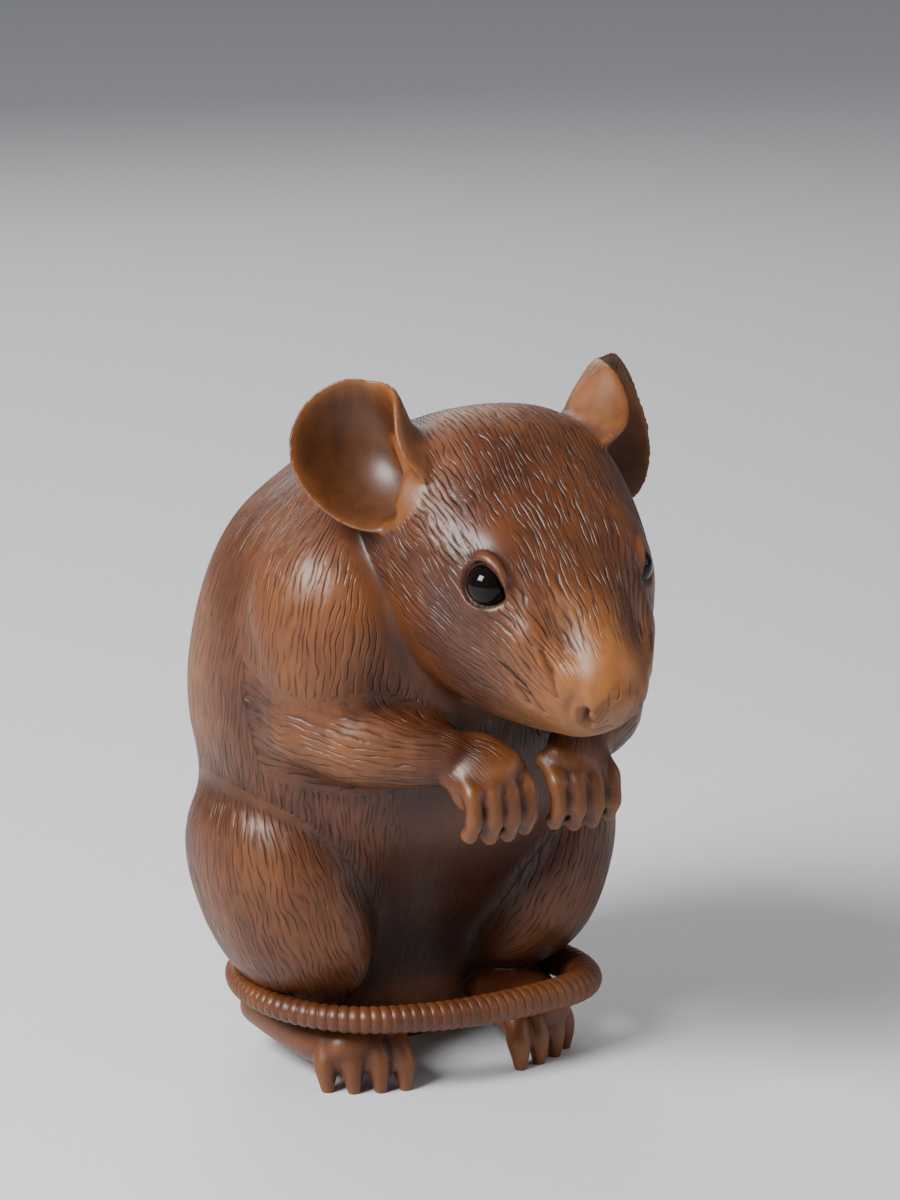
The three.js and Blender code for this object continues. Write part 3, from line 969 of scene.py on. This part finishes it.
# %% Tail
TAIL = [
    [4, 15.6, 6.5],
    [10.5, 11, 6.8],
    [14.6, 3.5, 7.2],
    [17.2, -4.5, 7.6],
    [16.4, -11, 7.8],
    [12, -14.2, 8],
    [4.5, -15.4, 8.1],
    [-4.5, -15.2, 8.3],
    [-12.6, -12.8, 8.6],
    [-17.4, -7.2, 8.8],
    [-18.4, 0.5, 8.7],
    [-16, 8, 8.4],
    [-11.4, 13, 8],
]
TAIL_ROOT_RADIUS = 2.1
TAIL_TIP_RADIUS = 1.0
TAIL_RING_PITCH = 1.05
TAIL_RING_DEPTH = 0.2
TAIL_POINTS_ROUND, TAIL_STEPS = 36, 1100


def tail():
    """Radius at distance s of the curve: root + (tip - root) t + depth (|sin(pi s / pitch)|^0.6 - 0.55)."""
    fine = through(TAIL, np.linspace(0, 1, 3000))
    run = distances(fine)
    places = np.linspace(0, run[-1], TAIL_STEPS)
    path = np.stack([np.interp(places, run, column) for column in fine.T], -1)
    along, side, up = frames_along(path, np.array([0, 0, 1.0]))
    share = places / run[-1]
    turn = circle(TAIL_POINTS_ROUND)
    lean = 0.25 * np.cos(turn)[None] + 0.12 * np.sin(places / 3.1)[:, None]
    wave = np.abs(np.sin(np.pi * places[:, None] / TAIL_RING_PITCH + lean * 2)) ** 0.6
    thick = TAIL_ROOT_RADIUS + (TAIL_TIP_RADIUS - TAIL_ROOT_RADIUS) * share
    radius = thick[:, None] + TAIL_RING_DEPTH * (wave - 0.55)
    ring = np.cos(turn)[None, :, None] * side[:, None] + np.sin(turn)[None, :, None] * up[:, None]
    return skin(path[:, None] + radius[..., None] * ring)


def smooth_shaded(obj):
    """Light runs smoothly over the faces of a mesh."""
    obj.data.polygons.foreach_set("use_smooth", np.ones(len(obj.data.polygons), bool))


tail_piece = mesh_object("tail", *tail())
smooth_shaded(tail_piece)
print("tail faces", len(tail_piece.data.polygons))


# %% [markdown]
# ## What the finish needs to know
#
# The finish is stain, hand polish and age, with painted shade. Stain settles in hollows and grooves, and
# shade is painted in there as well and on the belly under the arms; handling wears the high places to a honey
# colour. All are worked out from the shape, so the colour follows when it changes.


# %% Values on the surface
def put(obj, name, values):
    """A value on every point of a mesh, for the finish to read."""
    layer = obj.data.attributes.new(name, "FLOAT", "POINT")
    layer.data.foreach_set("value", values.astype(np.float32))


mesh = carving.data
smooth_shaded(carving)
points = (points_of(mesh) - ORIGIN) / UNIT
for name, values in hair_places(points).items():
    put(carving, name, values)
average = neighbour_mean(mesh)
# Painted shade, with the stain that settles there: the groove value darkens the hair grooves, the knife cuts
# and the sockets.
put(carving, "groove", hollows(points, normals_of(mesh), average, 3))
back, _, ratio = head_measure(points)
muzzle = fade(back, 3, 12) * fade(ratio, 1.4, 1.8)
ears = on_ears(points)
x, y, z = points.T
hands = fade(y, -26, -24) * fade(z, 38, 40) * (z > 27)
# Painted shade: the belly between the haunches, under the arms and head, is darkened towards a deep
# red-brown.
belly = fade(np.abs(x), 7, 14) * fade(z, 37, 46) * fade(y, -4, 2) * smooth_step(z, 6, 11)
put(carving, "belly", belly * (1 - hands))
flank = np.exp(-(((z - 46) / 13) ** 2)) * smooth_step(y, -8, 4)
# Painted shade, with the stain that settles there: this value darkens the wide hollows between the masses,
# less on the ears; below zero, on ridges, it gives worn honey.
put(carving, "hollow_shade_and_wear", hollows(points, normals_of(mesh), average, 60) * (1 - 0.65 * ears))
put(carving, "worn", np.clip(0.75 * muzzle + 0.4 * ears + 0.1 * hands + 0.55 * flank, 0, 1))
tail_mesh = tail_piece.data
tail_points = points_of(tail_mesh) / UNIT
# The tail's ring grooves get the same painted shade and settled stain.
put(tail_piece, "groove", hollows(tail_points, normals_of(tail_mesh), neighbour_mean(tail_mesh), 3))
for name, value in (("belly", 0.0), ("hollow_shade_and_wear", 0.0), ("worn", 0.1), ("hair", 0.0)):
    put(tail_piece, name, np.full(len(tail_points), value))
print("values on the carving:", [layer.name for layer in mesh.attributes if layer.data_type == "FLOAT"])


# %% [markdown]
# ## The eyes
#
# The eyes are inlays of dark horn, turned and polished until they shine. Each is a plain ball, set in its
# socket behind the lid.


# %% Eye inlays
def eyeball(side):
    """A sphere with its poles on the looking direction: centre + look r cos a + ring r sin a."""
    centre, look, back, _ = eye_frame(side)
    angle = np.linspace(0.02, np.pi - 0.02, 40)
    turn = circle(64)
    rim = np.cos(turn)[None, :, None] * back + np.sin(turn)[None, :, None] * np.cross(look, back)
    cosine, sine = np.cos(angle)[:, None, None], np.sin(angle)[:, None, None]
    return skin(centre - EYE_RADIUS * (cosine * look - sine * rim))


eyes = {}
for side, name in ((-1, "eye_right"), (1, "eye_left")):
    eyes[name] = mesh_object(name + "_inlay", *eyeball(side))
    smooth_shaded(eyes[name])
print("points of each eye:", len(eyes["eye_right"].data.vertices))


# %% [markdown]
# ## Finishes
#
# Two small shader groups do the shared work. `hair scratches` gives fine lines between the carved grooves,
# and `stained wood` gives the uneven colour of stain over boxwood grain. Both need no picture. The horn is
# nearly black, with a faint brown cloud.


# %% Shader helpers
def group(name, kind, inputs, outputs):
    """A node group with named inputs of one kind, named outputs that are values, and its two end nodes."""
    tree = bpy.data.node_groups.new(name, "ShaderNodeTree")
    for label in inputs:
        tree.interface.new_socket(label, in_out="INPUT", socket_type=kind)
    for label in outputs:
        tree.interface.new_socket(label, in_out="OUTPUT", socket_type="NodeSocketFloat")
    return tree, tree.nodes.new("NodeGroupInput"), tree.nodes.new("NodeGroupOutput")


def node(tree, kind, links=(), **settings):
    """A node with its settings, and links as (input, socket)."""
    made = tree.nodes.new(kind)
    for key, value in settings.items():
        setattr(made, key, value)
    for socket, source in links:
        feed(tree, made.inputs[socket], source)
    return made


def feed(tree, socket, source):
    """Sets an input to a number or colour, or links it to an output."""
    if isinstance(source, (int, float, tuple)):
        socket.default_value = source
    else:
        tree.links.new(source, socket)


def calc(tree, operation, a, b=0.0, clamp=False):
    """A math node on two values, each a socket or a number."""
    return node(tree, "ShaderNodeMath", [(0, a), (1, b)], operation=operation, use_clamp=clamp).outputs[0]


def mix_colour(tree, share, a, b):
    """Colour a where share is 0 and b where it is 1."""
    return node(tree, "ShaderNodeMix", [(0, share), (6, a), (7, b)], data_type="RGBA").outputs[2]


def ranged(tree, value, low, high, first=0.0, last=1.0):
    """A value from low to high, spread from first to last."""
    links = [("Value", value), ("From Min", low), ("From Max", high), ("To Min", first), ("To Max", last)]
    return node(tree, "ShaderNodeMapRange", links).outputs[0]


def noise(tree, place, scale, detail=2.0, dimensions="3D"):
    """Soft noise from 0 to 1 at a place."""
    links = [("Vector", place), ("Scale", scale), ("Detail", detail)]
    return node(tree, "ShaderNodeTexNoise", links, noise_dimensions=dimensions).outputs[0]


def attribute(tree, name):
    """A value on the mesh's points."""
    return node(tree, "ShaderNodeAttribute", attribute_name=name).outputs["Fac"]


def finish(name, inputs_for):
    """A material whose shader inputs are links or constants from inputs_for(tree)."""
    made = bpy.data.materials.new(name)
    made.use_nodes = True
    shader = made.node_tree.nodes["Principled BSDF"]
    for socket, source in inputs_for(made.node_tree).items():
        feed(made.node_tree, shader.inputs[socket], source)
    return made


# %% Shader groups
def hair_scratches():
    """Thin lines side by side: a sawtooth across, bent by slow noise and broken along by faster noise."""
    labels = ("Across", "Along", "Pitch")
    tree, given, result = group("hair scratches", "NodeSocketFloat", labels, ("Lines",))
    across = calc(tree, "DIVIDE", given.outputs["Across"], given.outputs["Pitch"])
    along = calc(tree, "MULTIPLY", given.outputs["Along"], 0.16)
    slow = calc(tree, "MULTIPLY", across, 0.21)
    place = node(tree, "ShaderNodeCombineXYZ", [(0, slow), (1, along)]).outputs[0]
    bend = calc(tree, "MULTIPLY", noise(tree, place, 1.0, dimensions="2D"), 3.0)
    bent = calc(tree, "ADD", across, bend)
    groove = ranged(tree, calc(tree, "PINGPONG", bent, 0.5), 0.0, 0.2, 1.0, 0.0)
    row = calc(tree, "FLOOR", calc(tree, "ADD", bent, 0.5))
    run = calc(tree, "MULTIPLY", given.outputs["Along"], 0.4)
    cell = node(tree, "ShaderNodeCombineXYZ", [(0, row), (1, run)]).outputs[0]
    strength = ranged(tree, noise(tree, cell, 1.0, 0.0, "2D"), 0.3, 0.62)
    lines = calc(tree, "SUBTRACT", 1.0, calc(tree, "MULTIPLY", groove, strength))
    tree.links.new(lines, result.inputs["Lines"])
    return tree


def stained_wood():
    """Uneven stain from slow noise, and long thin grain from noise stretched along the height."""
    tree, given, result = group("stained wood", "NodeSocketVector", ("Place",), ("Patches", "Grain"))
    place = given.outputs["Place"]
    links = [("Vector", place), ("Scale", (1.0, 1.0, 0.14)), ("Rotation", (0.12, 0.08, 0.0))]
    stretch = node(tree, "ShaderNodeMapping", links).outputs[0]
    tree.links.new(noise(tree, place, 75.0, 5.0), result.inputs["Patches"])
    tree.links.new(noise(tree, stretch, 900.0, 3.0), result.inputs["Grain"])
    return tree


HAIR, STAIN = hair_scratches(), stained_wood()
print("groups:", HAIR.name, "and", STAIN.name)


# %% Carved wood
DEEP_STAIN_AND_SHADE = (0.012, 0.003, 0.0012, 1)
RED_STAIN = (0.06, 0.0145, 0.004, 1)
BROWN_STAIN = (0.135, 0.041, 0.01, 1)
# The colour of the painted shade on the belly.
PAINTED_BELLY_SHADE = (0.03, 0.0065, 0.0018, 1)
HONEY = (0.29, 0.105, 0.024, 1)
HORN_BLACK, HORN_BROWN = (0.0015, 0.001, 0.001, 1), (0.006, 0.003, 0.002, 1)
HEAD_SCRATCH_PITCH, MUZZLE_SCRATCH_PITCH, BODY_SCRATCH_PITCH = 0.6, 0.55, 0.62


def carved_wood(tree):
    """Stained, polished boxwood: stain and painted shade in grooves and hollows and on the belly, honey where
    it is worn.
    """
    place = node(tree, "ShaderNodeTexCoord").outputs["Object"]
    stain = node(tree, "ShaderNodeGroup", [("Place", place)], node_tree=STAIN).outputs
    value = lambda name: attribute(tree, name)
    spread = lambda source, *ends: ranged(tree, source, *ends)
    times = lambda a, b: calc(tree, "MULTIPLY", a, b)

    def lines(across, along, pitch):
        links = [("Across", value(across)), ("Along", value(along)), ("Pitch", pitch)]
        return node(tree, "ShaderNodeGroup", links, node_tree=HAIR).outputs["Lines"]

    def blend(share, a, b):
        return calc(tree, "ADD", a, times(share, calc(tree, "SUBTRACT", b, a)))

    muzzle_lines = lines("muzzle_across", "head_along", MUZZLE_SCRATCH_PITCH)
    head_lines = lines("head_across", "head_along", HEAD_SCRATCH_PITCH)
    head_lines = blend(value("on_muzzle"), head_lines, muzzle_lines)
    body_lines = lines("body_across", "body_along", BODY_SCRATCH_PITCH)
    scratch = blend(value("hair"), 1.0, blend(value("on_head"), body_lines, head_lines))
    dark_line = times(calc(tree, "SUBTRACT", 1.0, scratch), blend(value("on_head"), 0.5, 0.8))
    uneven = calc(tree, "ADD", stain["Patches"], 0.45)
    worn = calc(tree, "MULTIPLY", times(value("worn"), 0.8), uneven, clamp=True)

    # Each layer covers the ones before it by its share.
    layers = (
        (spread(stain["Patches"], 0.36, 0.66), BROWN_STAIN),
        (worn, HONEY),
        # Painted shade on the belly.
        (times(value("belly"), 0.75), PAINTED_BELLY_SHADE),
        (spread(stain["Grain"], 0.35, 0.6, 0.22, 0.0), DEEP_STAIN_AND_SHADE),
        # Painted shade and settled stain in the fine grooves.
        (spread(value("groove"), -0.01, 0.07, 0.0, 0.75), DEEP_STAIN_AND_SHADE),
        # Painted shade and settled stain in the wide hollows; worn honey on the ridges.
        (spread(value("hollow_shade_and_wear"), 0.02, 0.7, 0.0, 0.85), DEEP_STAIN_AND_SHADE),
        (spread(value("hollow_shade_and_wear"), -0.2, -0.9, 0.0, 0.32), HONEY),
        (dark_line, DEEP_STAIN_AND_SHADE),
    )
    colour = RED_STAIN
    for share, cover in layers:
        colour = mix_colour(tree, share, colour, cover)
    bump = node(tree, "ShaderNodeBump", [("Height", scratch), ("Strength", 0.8), ("Distance", 0.00015)])
    return {
        "Base Color": colour,
        "Roughness": spread(stain["Patches"], 0.0, 1.0, 0.36, 0.52),
        "Normal": bump.outputs[0],
        "Specular IOR Level": 0.38,
        "Coat Weight": 0.08,
        "Coat Roughness": 0.25,
    }


def dark_horn(tree):
    """Polished horn: nearly black, with a faint cloud of brown."""
    cloud = noise(tree, node(tree, "ShaderNodeTexCoord").outputs["Object"], 700.0)
    colour = mix_colour(tree, cloud, HORN_BLACK, HORN_BROWN)
    return {"Base Color": colour, "Roughness": 0.08, "Specular IOR Level": 0.2}


wood, horn = finish("carved wood", carved_wood), finish("dark horn", dark_horn)
dressed = [(carving, wood, "wood", "rat"), (tail_piece, wood, "wood", "rat")]
dressed += [(piece, horn, "horn", name) for name, piece in eyes.items()]
for piece, material, slot, solid in dressed:
    piece.data.materials.clear()
    piece.data.materials.append(material)
    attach(piece, "root")
    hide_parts(solid)
print("finishes:", wood.name, "and", horn.name)


# %% [markdown]
# ## Floor, light and camera
#
# The gallery is left out: the rat sits on a plain pale floor under a large soft light from the upper left,
# with weaker ones from the right and from behind. The camera looks a little down on the rat's right side, so
# that a picture of the part can be laid beside the photo.

# %% Floor and light
FLOOR_REACH = 4.0
corners = np.array([[-1, -1, 0], [1, -1, 0], [1, 1, 0], [-1, 1, 0]]) * FLOOR_REACH
floor = mesh_object("floor", corners, [[0, 1, 2, 3]], False)
pale = {"Base Color": (0.62, 0.62, 0.63, 1), "Roughness": 0.6}
floor.data.materials.append(finish("pale floor", lambda tree: pale))


def soft_light(name, place, target, size, power):
    """A square area light at a place, turned to its target."""
    data = bpy.data.lights.new(name, "AREA")
    data.energy = power
    data.size = size
    made = bpy.data.objects.new(name, data)
    bpy.context.scene.collection.objects.link(made)
    made.location = place
    made.rotation_mode = "QUATERNION"
    made.rotation_quaternion = (Vector(target) - Vector(place)).to_track_quat("-Z", "Y")
    return made


HEART = (0, 0, 0.045)
# Rows: name, place in metres, side in metres and power in watts.
LIGHTS = [
    ("window", (-0.42, -0.1, 0.42), 0.24, 7.5),
    ("card", (0.45, -0.35, 0.25), 0.4, 0.8),
    ("back card", (0.1, 0.5, 0.4), 0.4, 1.6),
]
for name, spot, size, power in LIGHTS:
    soft_light(name, spot, HEART, size, power)
world = bpy.data.worlds.new("room")
world.use_nodes = True
air = world.node_tree.nodes["Background"].inputs
air["Color"].default_value = (0.9, 0.93, 1.0, 1)
air["Strength"].default_value = 0.25
bpy.context.scene.world = world
print("lights:", [row[0] for row in LIGHTS])

# %% Camera
CAMERA_DISTANCE = 0.43
CAMERA_TURN = math.radians(-29)
CAMERA_RISE = math.radians(14.2)
PIXELS_PER_UNIT = 9.7
PHOTO_HEIGHT = 1200
SENSOR_HEIGHT = 36
aim = Vector(np.array([0, -10.6, 51.5]) * UNIT + ORIGIN)
level = math.cos(CAMERA_RISE)
away = Vector((math.sin(CAMERA_TURN) * level, -math.cos(CAMERA_TURN) * level, math.sin(CAMERA_RISE)))
lens = bpy.data.cameras.new("camera")
lens.sensor_fit = "VERTICAL"
lens.sensor_height = SENSOR_HEIGHT
lens.lens = SENSOR_HEIGHT * CAMERA_DISTANCE / (PHOTO_HEIGHT / PIXELS_PER_UNIT * UNIT)
lens.clip_start = 0.01
camera = bpy.data.objects.new("camera", lens)
bpy.context.scene.collection.objects.link(camera)
camera.location = aim + away * CAMERA_DISTANCE
camera.rotation_mode = "QUATERNION"
camera.rotation_quaternion = (-away).to_track_quat("-Z", "Y")
bpy.context.scene.camera = camera
print("lens", round(lens.lens, 1), "mm")
